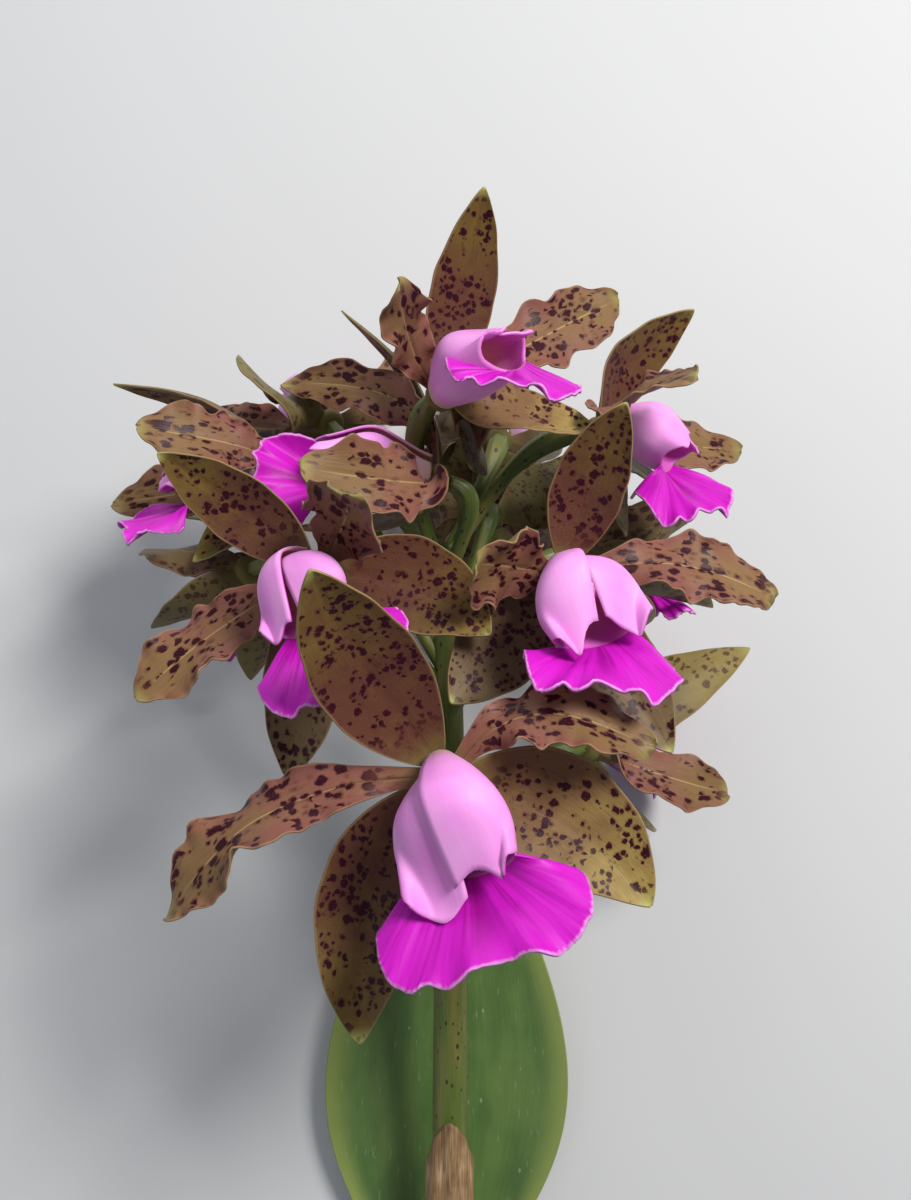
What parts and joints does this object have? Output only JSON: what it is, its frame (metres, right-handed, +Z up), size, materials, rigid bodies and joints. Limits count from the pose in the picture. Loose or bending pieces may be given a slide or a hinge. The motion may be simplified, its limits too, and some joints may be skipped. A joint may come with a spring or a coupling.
{
  "type": "cattleya orchid",
  "caption": "Cut flowering shoot of a bifoliate cattleya orchid: a head of spotted bronze blooms with magenta lips on a green stem, with a leaf, a dry sheath and a cane stub, lying on its back.",
  "frame": {"origin": "centre of the bounding box at its lowest level, on the surface that the shoot lies on", "axes": "+X to the right of the shoot as the camera sees it, +Y along the shoot from its cut end to its flowers, +Z up from the surface, towards the camera"},
  "size_m": [0.1632, 0.3052, 0.1357],
  "materials": {
    "tepals": "waxy, olive bronze with maroon spots",
    "lip": "velvety magenta with pale pink side lobes",
    "column": "satin blush white",
    "stem": "satin olive green with dark specks",
    "leaf": "satin mid green",
    "sheath": "dry, matt tan",
    "cane": "satin green with dry streaks"
  },
  "bodies": {
    "root": {"flower_stem": "stem", "leaf": "leaf", "sheath": "sheath", "cane": "cane", "front_bloom_tepals": "tepals", "front_bloom_lip": "lip", "front_bloom_column": "column", "left_bloom_tepals": "tepals", "left_bloom_lip": "lip", "left_bloom_column": "column", "right_bloom_tepals": "tepals", "right_bloom_lip": "lip", "right_bloom_column": "column", "top_bloom_tepals": "tepals", "top_bloom_lip": "lip", "top_bloom_column": "column", "upper_left_bloom_tepals": "tepals", "upper_left_bloom_lip": "lip", "upper_left_bloom_column": "column", "far_left_bloom_tepals": "tepals", "far_left_bloom_lip": "lip", "far_left_bloom_column": "column", "upper_right_bloom_tepals": "tepals", "upper_right_bloom_lip": "lip", "upper_right_bloom_column": "column", "back_top_bloom_tepals": "tepals", "back_top_bloom_lip": "lip", "back_top_bloom_column": "column", "lower_right_bloom_tepals": "tepals", "lower_right_bloom_lip": "lip", "lower_right_bloom_column": "column", "back_middle_bloom_tepals": "tepals", "back_middle_bloom_lip": "lip", "back_middle_bloom_column": "column", "back_right_bloom_tepals": "tepals", "back_right_bloom_lip": "lip", "back_right_bloom_column": "column", "lower_left_bloom_tepals": "tepals", "lower_left_bloom_lip": "lip", "lower_left_bloom_column": "column", "back_left_bloom_tepals": "tepals", "back_left_bloom_lip": "lip", "back_left_bloom_column": "column"}
  },
  "joints": []
}
